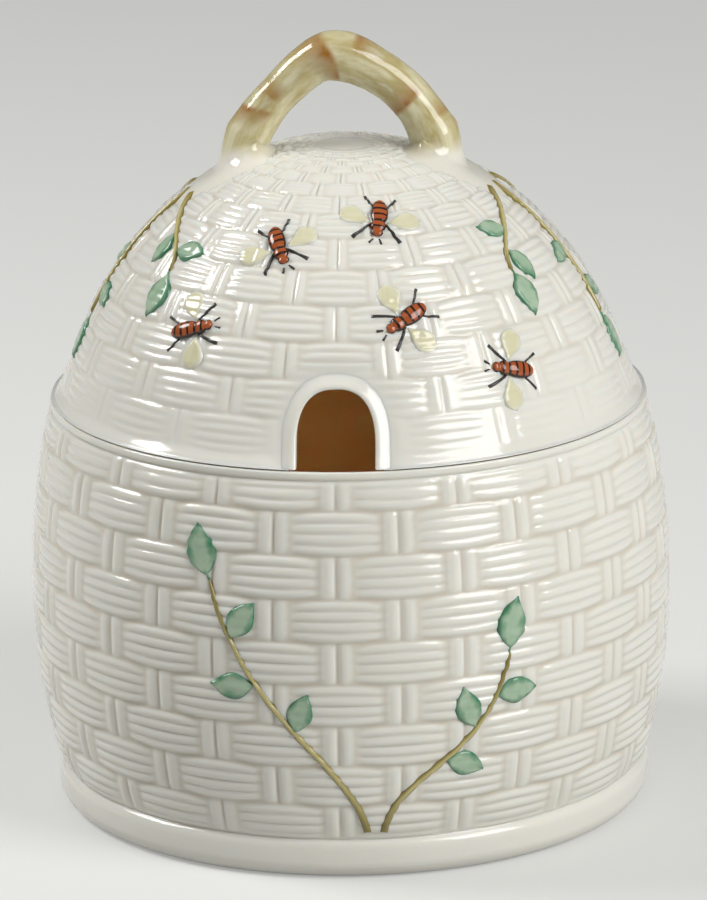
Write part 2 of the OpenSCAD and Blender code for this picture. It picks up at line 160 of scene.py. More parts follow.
def pot_place(r, angle, z):
    """Height of the pot's weave and the way out of its wall, for points of the spun shell."""
    row = np.floor((z - POT_ROW_Z) / POT_ROW_H)
    height = basket((angle / PERIOD - row % 2 / 2) % 1, (z - POT_ROW_Z) / POT_ROW_H - row)
    from_edge = np.minimum(z - FOOT_H, WEAVE_TOP - z)
    fade = np.clip((z - FOOT_H) / POT_EDGE_FADE, 0, 1) * np.clip((WEAVE_TOP - z) / POT_EDGE_FADE, 0, 1)
    fade *= np.clip(POT_LOW_EDGE + (1 - POT_LOW_EDGE) * from_edge / POT_EDGE_RISE, POT_LOW_EDGE, 1)
    slope = pot_r(z + 0.5) - pot_r(z - 0.5)
    size = np.hypot(1, slope)
    on_wall = np.abs(r - pot_r(z)) < ON_WALL
    return np.where(on_wall, height * fade, 0), 1 / size, -slope / size, on_wall * fade


def make_piece(name, bm, body, slot, material, *nodes):
    """Turns a bmesh into a smooth-shaded piece that rides on a body and stands for CAD nodes."""
    mesh = bpy.data.meshes.new(name)
    bm.to_mesh(mesh)
    bm.free()
    mesh.materials.append(material)
    mesh.polygons.foreach_set("use_smooth", [True] * len(mesh.polygons))
    piece = bpy.data.objects.new(name, mesh)
    bpy.context.scene.collection.objects.link(piece)
    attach(piece, body)
    if nodes:
        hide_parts(*nodes)
    return piece


def linear(hex_colour):
    """An sRGB hex colour as a linear RGBA tuple."""
    parts = [int(hex_colour[i:i + 2], 16) / 255 for i in (1, 3, 5)]
    return tuple(c / 12.92 if c <= 0.04045 else ((c + 0.055) / 1.055) ** 2.4 for c in parts) + (1,)


def add_node(tree, kind, links=(), **settings):
    """Adds a shader node. Settings name attributes or inputs; links are (input, output socket) pairs."""
    node = tree.nodes.new(kind)
    for name, value in settings.items():
        if hasattr(node, name):
            setattr(node, name, value)
        else:
            node.inputs[name.replace("_", " ")].default_value = value
    for name, socket in links:
        tree.links.new(node.inputs[name], socket)
    return node


def blend_colours(tree, factor, first, second):
    """A mix of two colours, each a hex colour or an output socket, by an output socket."""
    mix = add_node(tree, "ShaderNodeMix", data_type="RGBA")
    tree.links.new(mix.inputs[0], factor)
    for socket, colour in ((mix.inputs[6], first), (mix.inputs[7], second)):
        if isinstance(colour, str):
            socket.default_value = linear(colour)
        else:
            tree.links.new(socket, colour)
    return mix.outputs[2]


def glaze(name, roughness, subsurface=0.0, reach_mm=1.2, reach=(1.0, 0.8, 0.6),
          ripple_mm=5.0, ripple_depth_mm=0.05):
    """A glossy ceramic glaze with the soft unevenness of a fired surface, as (material, tree, where). Light
    spreads inside it as far as reach_mm, times reach for red, green and blue."""
    material = bpy.data.materials.new(name)
    material.use_nodes = True
    tree = material.node_tree
    shader = tree.nodes["Principled BSDF"]
    shader.inputs["Roughness"].default_value = roughness
    shader.inputs["IOR"].default_value = 1.5
    shader.inputs["Subsurface Weight"].default_value = subsurface
    shader.inputs["Subsurface Radius"].default_value = reach
    shader.inputs["Subsurface Scale"].default_value = reach_mm * MM
    where = add_node(tree, "ShaderNodeTexCoord").outputs["Object"]
    waves = add_node(tree, "ShaderNodeTexNoise", [("Vector", where)], Scale=1 / (ripple_mm * MM), Detail=2.0)
    bump = add_node(tree, "ShaderNodeBump", [("Height", waves.outputs["Fac"])],
                    Strength=1.0, Distance=ripple_depth_mm * MM)
    tree.links.new(shader.inputs["Normal"], bump.outputs["Normal"])
    return material, tree, where


def paint(tree, colour):
    """Links a colour to the material's shader."""
    tree.links.new(tree.nodes["Principled BSDF"].inputs["Base Color"], colour)


# Cream glaze over thin translucent porcelain: paler where it runs thin on the crests of the weave, and darker
# and warmer in its valleys, partly where the glaze pools and partly as painted shade in the grooves.
cream_glaze, tree, where = glaze("cream_glaze_on_porcelain", 0.1, 0.6, 1.6, (1.0, 0.8, 0.62))
relief = add_node(tree, "ShaderNodeAttribute", attribute_name="relief")
pooled_glaze_and_shade = add_node(tree, "ShaderNodeMapRange", [("Value", relief.outputs["Fac"])],
                   From_Min=WEAVE_BED, From_Max=0.6)
clouds = add_node(tree, "ShaderNodeTexNoise", [("Vector", where)], Scale=1 / (30 * MM), Detail=2.0)
# Painted shade: the valley colour darkens the grooves of the weave, on top of the glaze's own pooling.
valley = blend_colours(tree, clouds.outputs["Fac"], "#dfd9cb", "#d5cdbc")
crest = blend_colours(tree, clouds.outputs["Fac"], "#ebe9e1", "#e5e3d9")
paint(tree, blend_colours(tree, pooled_glaze_and_shade.outputs["Result"], valley, crest))

# The same glaze inside, where most of the light comes through the wall. Thin porcelain passes red light
# furthest and blue light least, so the inside glows amber behind the doorway.
amber_lit_glaze, tree, where = glaze("cream_glaze_inside_thin_wall", 0.2, 1.0, 14.0, (1.0, 0.44, 0.36))
clouds = add_node(tree, "ShaderNodeTexNoise", [("Vector", where)], Scale=1 / (30 * MM), Detail=2.0)
paint(tree, blend_colours(tree, clouds.outputs["Fac"], "#efe5cf", "#eadec4"))


def line_inside(mesh, inner):
    """Gives the inside glaze to the faces that a test of their centres' (radius, height) picks."""
    mesh.materials.append(amber_lit_glaze)
    centres = np.empty(len(mesh.polygons) * 3)
    mesh.polygons.foreach_get("center", centres)
    centres = centres.reshape(-1, 3) / MM
    inside = inner(np.hypot(centres[:, 0], centres[:, 1]), centres[:, 2])
    mesh.polygons.foreach_set("material_index", inside.astype(np.int32))


def pot_wall(t):
    """(radius, height) at a share of the way up the woven part of the pot's wall."""
    z = FOOT_H + t * (WEAVE_TOP - FOOT_H)
    return float(pot_r(z)), z


# Faces past these are the inside: a height within the base, and a depth within the wall
FLOOR_MIDDLE = 5.5
WALL_MIDDLE = 1.5

# The outline as (radius, height): under the base, round the foot band, over the rim, and down the inside
foot_outline = [(0, 2), (51.7, 2), (53.7, 0.1), (54.2, 0), (57.2, 0), (58.4, 0.2), (59.4, 0.8), (60.2, 1.7),
                (60.65, 2.9), (FOOT_R, 3.6), (FOOT_R, 6.2), (60.62, 6.9), (60.3, 7.5), (59.8, 7.95)]
rim_outline = [(60.2, 82.2), (60.5, 82.45), (RIM_R, 82.75), (RIM_R, 83.45), (60.5, 83.7), (60.2, POT_H),
               (59.7, 83.75), (57.6, 82.55), (57.2, 82.2), (MOUTH_R, 81.7), (MOUTH_R, 75.3)]
inside_outline = [(58.6, 73.4), (61, 60), (61.4, 46), (60.9, 34), (59, 20), (56.5, 12), (53, 7.6), (49, 6.2),
                  (45, 6), (0, 6)]
bm = spun_shell(foot_outline + [pot_wall(0), pot_wall(1)] + rim_outline + inside_outline,
                len(foot_outline), POT_CUTS, pot_wall)
pot = make_piece("pot_shell", bm, "pot", "cream_glaze", cream_glaze, "pot", "pot_weave")
lift_weave(pot.data, pot_place)
line_inside(pot.data, lambda r, z: (z > FLOOR_MIDDLE) & (r < pot_r(z) - WALL_MIDDLE))


# ---- Lid ----
# The lid is a second porcelain casting: a woven dome with a plain edge, a locating ring inside it and an
# arched doorway cut through before firing. It lifts straight off the pot.

DOME_H = 52.4
DOME_R = 60.4
LID_LOW = 84.1
LID_MARGIN = 2.8
LID_ROW_H = 7.6
LID_FULL_ROWS = 6
LID_ROW_SHRINK = 0.82
LID_ROWS = 17
LID_CUTS = 206
LID_WALL = 3.0

# The lid's weave is softer than the pot's: its height near the plain margin, what it gains up the dome, and
# how far it takes to fade at the crown, round the twig's feet and round the doorway's lip.
LOW_RELIEF = 0.35
RELIEF_GAIN = 0.45
GAIN_RISE = 16
CROWN_FADE = 8
TWIG_CLEAR = 6
TWIG_FADE = 4
LIP_CLEAR = 2.6
LIP_FADE = 3.4
MARGIN_RELIEF = 0.5
MARGIN_FADE = 3
FOOT_XS = (-22.0, 20.24)

# The doorway is an arch a little fuller at the shoulders than an ellipse, on straight jambs.
DOOR_W = 15.4
DOOR_RISE = 10.8
DOOR_FULLNESS = 2.5
SPRING_Z = 87.7

# The dome's crest line is a Bezier curve of five points, and the wall lies under it by the relief.
curve_points = np.array([[1, 0], [0.92, 0.11], [0.85, 0.75], [0.38, 1], [0, 1]]) * [DOME_R, DOME_H]
shares = np.linspace(0, 1, 401)[:, None]
line = [p * np.ones_like(shares) for p in curve_points]
while len(line) > 1:
    line = [a * (1 - shares) + b * shares for a, b in zip(line, line[1:])]
crest_line = line[0] + [0, LID_LOW]
along = np.gradient(crest_line, axis=0)
dome_normals = np.stack([along[:, 1], -along[:, 0]], 1) / np.linalg.norm(along, axis=1)[:, None]
dome_wall = crest_line - RELIEF * dome_normals
dome_wall[:, 0] = np.maximum(dome_wall[:, 0], 0)
dome_s = np.concatenate([[0], np.cumsum(np.linalg.norm(np.diff(dome_wall, axis=0), axis=1))])
lid_rows = [LID_MARGIN]
for row in range(LID_ROWS):
    lid_rows.append(lid_rows[-1] + LID_ROW_H * LID_ROW_SHRINK ** max(0, row + 1 - LID_FULL_ROWS))
lid_rows = np.array(lid_rows)


def dome_at(s, out=0.0):
    """(radius, height) of the dome's wall at a distance up from its edge, moved out."""
    r, z, nr, nz = (np.interp(s, dome_s, column) for column in (*dome_wall.T, *dome_normals.T))
    return float(r + out * nr), float(z + out * nz)


def from_doorway(x, z):
    """Distance outwards from the doorway's outline, seen from the front."""
    across, up = np.abs(x) / (DOOR_W / 2), np.maximum(z - SPRING_Z, 0) / DOOR_RISE
    size = (across ** DOOR_FULLNESS + up ** DOOR_FULLNESS) ** (1 / DOOR_FULLNESS) + 1e-6
    steep = np.hypot((across / size) ** (DOOR_FULLNESS - 1) / (DOOR_W / 2),
                     (up / size) ** (DOOR_FULLNESS - 1) / DOOR_RISE)
    return (size - 1) / np.maximum(steep, 0.02)


def arch_point(turn, off):
    """(x, height over the spring) of a point off the doorway's arch, at an angle from its right foot."""
    c, s = abs(cos(turn)), abs(sin(turn))
    power = 2 / DOOR_FULLNESS
    out = Vector((c ** (2 - power) / (DOOR_W / 2), s ** (2 - power) / DOOR_RISE)).normalized()
    x, up = DOOR_W / 2 * c ** power + off * out.x, DOOR_RISE * s ** power + off * out.y
    return copysign(x, cos(turn)), up


def lid_place(r, angle, z):
    """Height of the lid's weave and the way out of its wall. It dies out towards the plain margin, the
    doorway's lip, the twig's feet and the crown of the dome."""
    s = np.interp(z, dome_wall[:, 1], dome_s)
    row = np.clip(np.searchsorted(lid_rows, s, side="right") - 1, 0, LID_ROWS - 1)
    v = np.clip((s - lid_rows[row]) / (lid_rows[row + 1] - lid_rows[row]), 0, 1)
    height = basket((angle / PERIOD - (row + 1) % 2 / 2) % 1, v)
    x, y = r * np.sin(np.radians(angle)), -r * np.cos(np.radians(angle))
    soft = LOW_RELIEF + RELIEF_GAIN * np.clip((s - LID_MARGIN) / GAIN_RISE, 0, 1)
    soft *= np.clip((lid_rows[-1] - s) / CROWN_FADE, 0, 1) ** 0.6
    for foot_x in FOOT_XS:
        outwards = (x - foot_x) * foot_x > 0
        reach = np.where(outwards, 0.6, 1.0) * (x - foot_x)
        soft = soft * np.clip((np.hypot(reach, y) - TWIG_CLEAR) / TWIG_FADE, 0, 1)
    past_lip = np.where(y < 0, np.clip((from_doorway(x, z) - LIP_CLEAR) / LIP_FADE, 0, 1), 1)
    soft *= past_lip
    margin = MARGIN_RELIEF * past_lip * np.clip((LID_MARGIN + MARGIN_FADE / 2 - s) / MARGIN_FADE, 0, 1)
    height = np.maximum(height * soft, margin)
    wall_r, out_r, out_z = (np.interp(s, dome_s, column) for column in (dome_wall[:, 0], *dome_normals.T))
    on_wall = np.abs(r - wall_r) < ON_WALL
    return np.where(on_wall, height, 0), out_r, out_z, on_wall * soft


crown_s = float(dome_s[-1])
crown_z = float(dome_wall[-1, 1])
edge_s = 0.6

# The outline as (radius, height): the dome from its crown to its edge, under the edge, round the locating
# ring, and back up inside the dome
ring_outline = [
    (60.3, 84.2), (60.1, 84.02), (59.6, 83.95), (57.5, 82.78), (56.9, 82.45), (56.45, 81.9), (56.4, 78.3),
    (56.2, 77.85), (55.8, 77.6), (54.8, 77.6), (54.3, 77.85), (54.2, 78.3), (54.2, 84.6), (54.4, 86.2),
]
under_dome = [dome_at(s, -LID_WALL) for s in (5, *range(10, 77, 6))]
bm = spun_shell([(0, crown_z), dome_at(edge_s)] + ring_outline + under_dome + [(0, crown_z - LID_WALL)],
                0, LID_CUTS, lambda t: dome_at(crown_s + t * (edge_s - crown_s)))
lid = make_piece("lid_shell", bm, "lid", "cream_glaze", cream_glaze, "lid", "lid_flange", "lid_weave")
lift_weave(lid.data, lid_place)

# The doorway is cut through wall and ring with an arched cutter a little wider than the opening, so that the
# cut's edge lies under the lip. The lowest 2 mm of the ring run on below the cut.
LIP_LAP = 1.4
CUT_FROM_Y = -75
CUT_DEPTH = 45
CUT_LOW = POT_H - 4
bm = bmesh.new()
bmesh.ops.create_circle(bm, cap_ends=True, segments=64, radius=1,
                        matrix=Matrix.Translation((0, CUT_FROM_Y, 0)) @ Matrix.Rotation(pi / 2, 4, "X"))
for v in bm.verts:
    x, up = arch_point(atan2(max(v.co.z, 0), v.co.x), LIP_LAP)
    v.co.x, v.co.z = x, SPRING_Z + up if v.co.z > -0.001 else CUT_LOW
raised = bmesh.ops.extrude_face_region(bm, geom=bm.faces[:])["geom"]
bmesh.ops.translate(bm, vec=(0, CUT_DEPTH, 0), verts=[g for g in raised if isinstance(g, bmesh.types.BMVert)])
bmesh.ops.recalc_face_normals(bm, faces=bm.faces)
bmesh.ops.scale(bm, vec=(MM, MM, MM), verts=bm.verts)
cutter_mesh = bpy.data.meshes.new("doorway_cutter")
bm.to_mesh(cutter_mesh)
bm.free()
cutter = bpy.data.objects.new("doorway_cutter", cutter_mesh)
bpy.context.scene.collection.objects.link(cutter)
cut = lid.modifiers.new("doorway", "BOOLEAN")
cut.operation = "DIFFERENCE"
cut.solver = "MANIFOLD"
cut.object = cutter
bpy.context.view_layer.update()
opened = bpy.data.meshes.new_from_object(lid.evaluated_get(bpy.context.evaluated_depsgraph_get()))
lid.modifiers.clear()
lid.data = opened
bpy.data.objects.remove(cutter)
inner_wall = dome_wall - LID_WALL / 2 * dome_normals
line_inside(lid.data, lambda r, z: (z > LID_LOW + 2) & (r < np.interp(z, inner_wall[:, 1], inner_wall[:, 0])))


# ---- Doorway's lip ----
# A rolled lip of the same porcelain runs round the doorway and lines the thickness of the wall. Its section
# is spun over the arch, drawn down to the lid's edge on both sides, and then bent to the dome.

LIP_BACK = -3.7

# The lip's section as (off the opening, height over the dome's wall): up the lining, over the roll, out on to
# the dome, and back through the wall
lip_section = [
    (0, LIP_BACK + 0.4), (0, -1.8), (0, 0.1), (0.1, 0.48), (0.3, 0.74), (0.65, 0.84), (1.05, 0.76),
    (1.45, 0.58), (1.85, 0.36), (2.25, 0.17), (2.7, 0.05), (3.2, -0.02), (3.7, -0.12), (2.6, -1.0),
    (2.6, -2.6), (2.3, -3.2), (1.7, -3.65), (0.4, LIP_BACK),
]
bm = bmesh.new()
ring = [bm.verts.new((DOOR_W / 2 + a, -out, 0)) for a, out in lip_section]
section = [bm.edges.new(pair) for pair in zip(ring, ring[1:] + ring[:1])]
bmesh.ops.spin(bm, geom=ring + section, cent=(0, 0, 0), axis=(0, -1, 0), angle=pi, steps=48)
for v in bm.verts:
    v.co.x, v.co.z = arch_point(atan2(max(v.co.z, 0), v.co.x), hypot(v.co.x, v.co.z) - DOOR_W / 2)
ends = [[e for e in bm.edges if e.is_boundary and (e.verts[0].co.x > 0) == right] for right in (True, False)]
for end in ends:
    for share in (0.35, 0.35, 0.3):
        drawn = bmesh.ops.extrude_edge_only(bm, edges=end)["geom"]
        bmesh.ops.translate(bm, vec=(0, 0, share * (LID_LOW - SPRING_Z)),
                            verts=[g for g in drawn if isinstance(g, bmesh.types.BMVert)])
        end = [g for g in drawn if isinstance(g, bmesh.types.BMEdge) and g.is_boundary]
    bmesh.ops.contextual_create(bm, geom=end)
    for e in end:
        e.smooth = False
for v in bm.verts:
    z = v.co.z + SPRING_Z
    r = float(np.interp(z, dome_wall[:, 1], dome_wall[:, 0]))
    v.co = Vector((v.co.x, -(r * r - v.co.x ** 2) ** 0.5 + v.co.y, z)) * MM
bmesh.ops.recalc_face_normals(bm, faces=bm.faces)
relief_layer = bm.verts.layers.float.new("relief")
for v in bm.verts:
    v[relief_layer] = 0.85  # as pale as a crest of the weave
make_piece("doorway_lip", bm, "lid", "cream_glaze", cream_glaze, "door_lip")


# ---- Twig handle ----
# The twig is modelled by hand and stuck on with slip: a knobbly stick bent over in an arch, whose two feet
# are spread and smoothed on to the dome. It is olive glaze with brown brushed in at each knot.

# The twig's middle line as (x, height), and its radius at each of those places
twig_line = np.array([
    (-19.7, 136.4), (-18.3, 139.0), (-16.4, 141.7), (-14.9, 143.7), (-13.0, 145.6), (-9.9, 148.8),
    (-6.4, 151.8), (-2.9, 153.5), (0.6, 153.1), (3.4, 151.9), (6.3, 150.3), (9.9, 148.0), (13.1, 144.9),
    (14.9, 142.6), (16.6, 139.9), (18.2, 136.6),
])
twig_radii = [4.8, 4.5, 4.3, 4.15, 4.05, 4.3, 4.5, 5.15, 5.15, 4.85, 4.55, 4.45, 4.5, 4.5, 4.75, 5.3]
TWIG_SIDES = 40
TWIG_RINGS = 90
BEND_REACH = 2.5
BARE_TO_Z = 132.8
BARE_FADE = 4.5


def s_at_radius(r):
    """Distance up the dome from its edge to where its wall has a radius."""
    return float(np.interp(-r, -dome_wall[:, 0], dome_s))


def dome_space(angle, s, out):
    """A point in metres at an angle, a distance up the dome and a height over its wall."""
    r, z = dome_at(s, out)
    return Vector((r * sin(radians(angle)), -r * cos(radians(angle)), z)) * MM


# Rings of a foot from its leg outwards: (radius, shift down the dome, height, tilt towards the crown)
foot_shapes = [(5.5, -1.8, 3.3, 0.4), (6.1, -1.1, 2.4, 0.24), (7.0, -0.4, 1.7, 0.12), (8.1, 0.5, 1.2, 0.04),
               (9.6, 1.5, 0.75, 0), (11.4, 2.6, 0.3, 0), (13.0, 3.4, 0.0, 0), (14.0, 3.8, -0.25, 0),
               (9.0, 1.8, -1.6, 0)]
runs = np.concatenate([[0], np.cumsum(np.linalg.norm(np.diff(twig_line, axis=0), axis=1))])
bm = bmesh.new()
run_layer, out_layer, foot_layer = (bm.verts.layers.float.new(name) for name in ("run", "outer", "foot"))
grain_layer = bm.verts.layers.float_vector.new("grain")


def twig_point(run, way, place):
    """Adds a point of the twig in metres, and notes its run along the twig, its way round it and how bare of
    olive it is."""
    v = bm.verts.new(place)
    v[run_layer] = run
    v[out_layer] = cos(way)
    v[grain_layer] = (run / 7, 2 * cos(way), sin(way))
    v[foot_layer] = min(1, max(0, (v.co.z / MM - BARE_TO_Z) / BARE_FADE))
    return v


def foot_ring(foot_x, radius, shift, height, tilt):
    """One ring of a spread foot, laid over the dome round the place where the leg stands."""
    side = copysign(1, foot_x)
    run = 0 if side < 0 else runs[-1]
    ring = []
    for k in range(TWIG_SIDES):
        way = 2 * pi * k / TWIG_SIDES
        s = s_at_radius(abs(foot_x)) - shift - radius * cos(way)
        turn = degrees(radius * sin(way) / dome_at(s)[0])
        place = dome_space(side * (90 - turn), s, height - tilt * radius * cos(way))
        ring.append(twig_point(run, way, place))
    return ring


def leg_ring(run, smooth_bend):
    """One ring round the twig at a run along it. Bends are smoothed everywhere but at its two ends."""
    x, z, radius = (float(np.interp(run, runs, column)) for column in (*twig_line.T, twig_radii))
    before, after = (np.array([np.interp(run + reach, runs, column) for column in twig_line.T])
                     for reach in (-BEND_REACH, BEND_REACH))
    if smooth_bend:
        x, z = 0.5 * np.array([x, z]) + 0.25 * (before + after)
    line_way = (after - before) / np.linalg.norm(after - before)
    outer, near = Vector((-line_way[1], 0, line_way[0])), Vector((0, -1, 0))
    ring = []
    for k in range(TWIG_SIDES):
        way = 2 * pi * k / TWIG_SIDES
        place = (Vector((x, 0, z)) + radius * (cos(way) * outer + sin(way) * near)) * MM
        ring.append(twig_point(run, way, place))
    return ring


rings = [foot_ring(FOOT_XS[0], *shape) for shape in reversed(foot_shapes)]
rings += [leg_ring(runs[-1] * i / TWIG_RINGS, 0 < i < TWIG_RINGS) for i in range(TWIG_RINGS + 1)]
rings += [foot_ring(FOOT_XS[1], *shape) for shape in foot_shapes]
loops = [[bm.edges.new(pair) for pair in zip(ring, ring[1:] + ring[:1])] for ring in rings]
for lower, upper in zip(loops, loops[1:]):
    bmesh.ops.bridge_loops(bm, edges=lower + upper)
for end in (loops[0], loops[-1]):
    bmesh.ops.contextual_create(bm, geom=end)
bmesh.ops.recalc_face_normals(bm, faces=bm.faces)

# Brown is brushed in at each knot. It starts hard there and fades along the twig. Knots as (run, slant,
# length of the fade (below 0 it runs back), from and to across the twig (1 is its outside), strength)
twig_knots = [
    (7.4, -0.95, -5.0, -0.3, 1.2, 0.8), (10.8, -0.4, 4.5, -0.1, 0.85, 0.9),
    (25.4, -1.0, -7.5, -0.9, 1.2, 0.8), (29.0, 0.0, 4.5, 0.5, 1.2, 0.9),
    (43.3, -0.2, -6.0, -1.2, 0.6, 0.85), (48.2, 0.4, -4.5, 0.6, 1.2, 0.7),
]
SLANT_REACH = 2.2
HARD_EDGE = 0.15
SIDE_FADE = 0.3
brown_layer = bm.verts.layers.float.new("brown")
for v in bm.verts:
    brown = 0.0
    outer = v[out_layer]
    for at, slant, fade, low, high, strength in twig_knots:
        past_knot = (v[run_layer] - at - slant * SLANT_REACH * outer) / fade
        if past_knot > -HARD_EDGE:
            start = min(1, (past_knot + HARD_EDGE) / HARD_EDGE)
            sides = [min(1, max(0, room / SIDE_FADE + 0.5)) for room in (outer - low, high - outer)]
            faded = max(0, 1 - max(past_knot, 0)) ** 1.4
            brown = max(brown, strength * sides[0] * sides[1] * faded * start)
    v[brown_layer] = brown * v[foot_layer]

# Olive glaze brushed on porcelain in streaks along the twig, cream again at the feet.
twig_glaze, tree, _ = glaze("olive_twig_glaze", 0.08, 0.3, ripple_mm=4.0, ripple_depth_mm=0.06)
grain = add_node(tree, "ShaderNodeAttribute", attribute_name="grain")
streaks = add_node(tree, "ShaderNodeTexNoise", [("Vector", grain.outputs["Vector"])], Scale=1.0, Detail=4.0)
brushed = add_node(tree, "ShaderNodeMapRange", [("Value", streaks.outputs["Fac"])],
                   From_Min=0.36, From_Max=0.64)
olive = blend_colours(tree, brushed.outputs["Result"], "#b4a468", "#dcd6b4")
foot = add_node(tree, "ShaderNodeAttribute", attribute_name="foot")
wash = add_node(tree, "ShaderNodeMath", [(0, foot.outputs["Fac"]), (1, streaks.outputs["Fac"])],
                operation="MULTIPLY")
bare = add_node(tree, "ShaderNodeMapRange", [("Value", wash.outputs[0])], From_Min=0.08, From_Max=0.4)
body = blend_colours(tree, bare.outputs["Result"], "#e9e5d8", olive)
brown = add_node(tree, "ShaderNodeAttribute", attribute_name="brown")
brush = add_node(tree, "ShaderNodeMath", [(0, brown.outputs["Fac"]), (1, streaks.outputs["Fac"])],
                 operation="MULTIPLY")
depth = add_node(tree, "ShaderNodeMapRange", [("Value", brush.outputs[0])], From_Min=0.03, From_Max=0.5)
paint(tree, blend_colours(tree, depth.outputs["Result"], body, "#a06c28"))
twig = make_piece("twig_handle", bm, "lid", "twig_glaze", twig_glaze, "handle")
smooth = twig.modifiers.new("smooth", "SUBSURF")
smooth.levels = smooth.render_levels = 1


# ---- Sprigs ----
# Stems and leaves are drawn on the cast in low relief and brushed with olive and green under the glaze.
# Each is a strip that lies over the weave along a path and meets it at its edges.

STEM_HALF = 0.75
STEM_H = 0.16
LEAF_L = 11.0
LEAF_W = 6.4
LEAF_H = 0.2
STALK_HALF = 0.22
RIM_DIP = 0.06
RIM_ROUND = 0.55
STRIP_DEPTH = 0.35


def pot_height(angle, z):
    """Height of the pot's weave over its wall at one place."""
    return RELIEF * float(pot_place(pot_r(z), angle, z)[0])


def pot_space(angle, z, out):
    """A point in metres on the pot at an angle, a height and a distance out from its wall."""
    slope = pot_r(z + 0.5) - pot_r(z - 0.5)
    size = hypot(1, slope)
    r = pot_r(z) + out / size
    return Vector((r * sin(radians(angle)), -r * cos(radians(angle)), z - out * slope / size)) * MM


def dome_height(angle, s):
    """Height of the lid's weave over its wall at one place."""
    r, z = dome_at(s)
    return RELIEF * float(lid_place(r, angle, z)[0])


# A ground to draw on, as functions for the weave's height, a point in space and the radius
POT = (pot_height, pot_space, lambda z: float(pot_r(z)))
DOME = (dome_height, dome_space, lambda s: dome_at(s)[0])


def on_path(path, t):
    """A point at a share of the way along a Bezier path of (angle, height) places."""
    while len(path) > 1:
        path = [(a[0] * (1 - t) + b[0] * t, a[1] * (1 - t) + b[1] * t) for a, b in zip(path, path[1:])]
    return path[0]


def way_at(ground, path, t):
    """The way along a path, as a unit step across and up the surface."""
    a, b = on_path(path, t - 0.02), on_path(path, t + 0.02)
    step = Vector(((b[0] - a[0]) * radians(1) * ground[2](a[1]), b[1] - a[1]))
    return step.normalized()


def moved(ground, at, across, up):
    """A place moved by millimetres across and up the surface."""
    return at[0] + degrees(across / ground[2](at[1])), at[1] + up


def brushed_strip(bm, ground, path, half_width, height, cuts, rows, ride_up=0.5):
    """Adds a closed low strip along a path. Its middle stands a height over the softened weave and its rim
    dips into it. half_width gives half its width at a share of the way along."""
    rim = bm.verts.layers.float["rim"]
    grid = bmesh.ops.create_grid(bm, x_segments=cuts, y_segments=rows, size=1)["verts"]
    faces = list(dict.fromkeys(face for v in grid for face in v.link_faces))
    raised = bmesh.ops.extrude_face_region(bm, geom=faces)["geom"]
    top = dict.fromkeys(g for g in raised if isinstance(g, bmesh.types.BMVert))
    for v in [*grid, *top]:
        t, w = (v.co.x + 1) / 2, v.co.y
        half = half_width(t)
        run = way_at(ground, path, t)
        at = moved(ground, on_path(path, t), -run.y * w * half, run.x * w * half)
        weave = ground[0](*at)
        end = min(t, 1 - t) * 2
        inside = min(1, (1 - abs(w)) * half / RIM_ROUND + 0.02, end * cuts / 8 + 0.02) ** 0.5
        lift = ride_up * RELIEF + (1 - ride_up) * weave + height
        if v in top:
            out = (weave - RIM_DIP) * (1 - inside) + lift * inside
        else:
            out = min(weave, ride_up) - STRIP_DEPTH
        v[rim] = min(1, max(abs(w), 1 - end * 1.3))
        v.co = ground[1](at[0], at[1], out)


def new_strips():
    """An empty bmesh with the layer that a brushed strip writes: 0 at its middle and 1 at its rim."""
    bm = bmesh.new()
    bm.verts.layers.float.new("rim")
    return bm


def half_stem(t):
    """Half a stem's width at a share of the way along: it thins as it climbs and comes to a blunt tip."""
    return STEM_HALF * (1 - 0.36 * t) * min(1, 0.4 + (1 - t) * 20)


def leaf(bm, ground, stem_path, share, turn, size):
    """An almond leaf that grows from a share of the way along a stem."""
    run = way_at(ground, stem_path, share)
    way = degrees(atan2(run.y, run.x)) + turn
    start = on_path(stem_path, share)
    length = LEAF_L * size
    path = [moved(ground, start, d * cos(radians(way + bow)), d * sin(radians(way + bow)))
            for d, bow in ((-0.5, 0), (length * 0.55, 10), (length, 0))]

    def half_leaf(t):
        along = min(1, max(0, t - 0.1) / 0.9)
        return max(STALK_HALF, LEAF_W * size / 2 * sin(pi * along ** 0.8))

    brushed_strip(bm, ground, path, half_leaf, LEAF_H, 30, 14, 0.75)


# Stems as Bezier paths of (angle from the doorway, height), and leaves as (share along a stem, turn, size)
pot_stem_paths = [[(5, 10), (2, 26), (-16, 34), (-23, 62)], [(8, 10), (10, 24), (27, 24), (31, 46)]]
pot_stem_leaves = [(1, 0, 1), (0.84, -58, 0.85), (0.7, 58, 0.85), (0.5, -58, 0.8)]
BELOW_FOOT = 9.6
lid_stem_paths = []
for foot_x in FOOT_XS:
    side, top = copysign(1, foot_x), s_at_radius(abs(foot_x)) - BELOW_FOOT
    for turn, end in ((-38, 36), (-8, 20), (38, 30)):
        lid_stem_paths.append([(side * (90 + turn * 0.25), top), (side * (90 + turn * 0.6), top - 6.5),
                               (side * (90 + turn), end + 6), (side * (90 + turn), end)])
lid_stem_leaves = [(1, 0, 0.9), (0.74, 58, 0.75), (0.5, -58, 0.7)]

# Olive underglaze: a thin wash in the middle of the stroke and darker where the colour ran to its edges.
stem_paint, tree, where = glaze("olive_underglaze_paint", 0.1)
rim = add_node(tree, "ShaderNodeAttribute", attribute_name="rim")
blots = add_node(tree, "ShaderNodeTexNoise", [("Vector", where)], Scale=1 / (5 * MM), Detail=3.0)
thin = blend_colours(tree, blots.outputs["Fac"], "#cdc08a", "#b3a766")
edge = add_node(tree, "ShaderNodeMapRange", [("Value", rim.outputs["Fac"])], From_Min=0.35, From_Max=0.9)
paint(tree, blend_colours(tree, edge.outputs["Result"], thin, "#8a7d42"))

